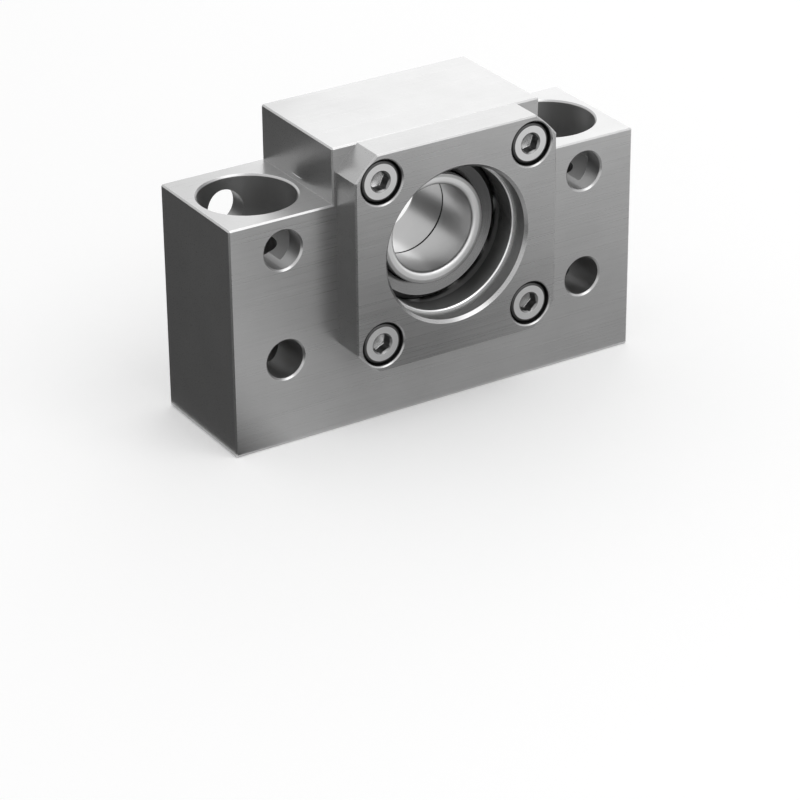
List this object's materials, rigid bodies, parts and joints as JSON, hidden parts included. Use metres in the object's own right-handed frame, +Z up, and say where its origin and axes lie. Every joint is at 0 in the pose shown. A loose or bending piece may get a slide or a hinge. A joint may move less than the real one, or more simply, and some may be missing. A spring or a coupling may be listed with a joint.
{
  "type": "ball screw end support",
  "caption": "Steel block that supports a ball screw's fixed end in a pair of ball bearings, held by a square screwed cover, with bolt holes through its face and shoulders.",
  "frame": {"origin": "centre of the base face, under the bore axis, midway between the block's front and back faces", "axes": "+X across the block, +Y along the shaft axis from the cover to the back, +Z up"},
  "size_m": [0.076, 0.028, 0.049],
  "materials": {
    "housing_steel": "ground, satin",
    "cover_steel": "ground, satin",
    "screw_steel": "plated, satin",
    "ring_steel": "polished",
    "ball_steel": "mirror polished",
    "cage_steel": "pressed, dull"
  },
  "bodies": {
    "block": {"housing": "housing_steel", "retaining_cover": "cover_steel", "cover_screws": "screw_steel", "front_outer_ring": "ring_steel", "rear_outer_ring": "ring_steel"},
    "front_inner": {"front_inner_ring": "ring_steel"},
    "rear_inner": {"rear_inner_ring": "ring_steel"},
    "front_ball_set": {"front_cage": "cage_steel", "front_ball_01": "ball_steel", "front_ball_02": "ball_steel", "front_ball_03": "ball_steel", "front_ball_04": "ball_steel", "front_ball_05": "ball_steel", "front_ball_06": "ball_steel", "front_ball_07": "ball_steel", "front_ball_08": "ball_steel", "front_ball_09": "ball_steel", "front_ball_10": "ball_steel", "front_ball_11": "ball_steel"},
    "rear_ball_set": {"rear_cage": "cage_steel", "rear_ball_01": "ball_steel", "rear_ball_02": "ball_steel", "rear_ball_03": "ball_steel", "rear_ball_04": "ball_steel", "rear_ball_05": "ball_steel", "rear_ball_06": "ball_steel", "rear_ball_07": "ball_steel", "rear_ball_08": "ball_steel", "rear_ball_09": "ball_steel", "rear_ball_10": "ball_steel", "rear_ball_11": "ball_steel"}
  },
  "joints": [
    {"name": "front_inner_spin", "type": "hinge", "parent": "block", "child": "front_inner", "pos_m": [0, -0.0053, 0.0302], "axis": [0, 1, 0], "continuous": true},
    {"name": "rear_inner_spin", "type": "hinge", "parent": "block", "child": "rear_inner", "pos_m": [0, 0.0037, 0.0302], "axis": [0, 1, 0], "continuous": true},
    {"name": "front_balls_orbit", "type": "hinge", "parent": "block", "child": "front_ball_set", "pos_m": [0, -0.0053, 0.0302], "axis": [0, 1, 0], "continuous": true},
    {"name": "rear_balls_orbit", "type": "hinge", "parent": "block", "child": "rear_ball_set", "pos_m": [0, 0.0037, 0.0302], "axis": [0, 1, 0], "continuous": true}
  ],
  "couplings": [
    {"joint": "rear_inner_spin", "follows": "front_inner_spin", "ratio": 1},
    {"joint": "front_balls_orbit", "follows": "front_inner_spin", "ratio": 0.4123},
    {"joint": "rear_balls_orbit", "follows": "front_inner_spin", "ratio": 0.4123}
  ]
}
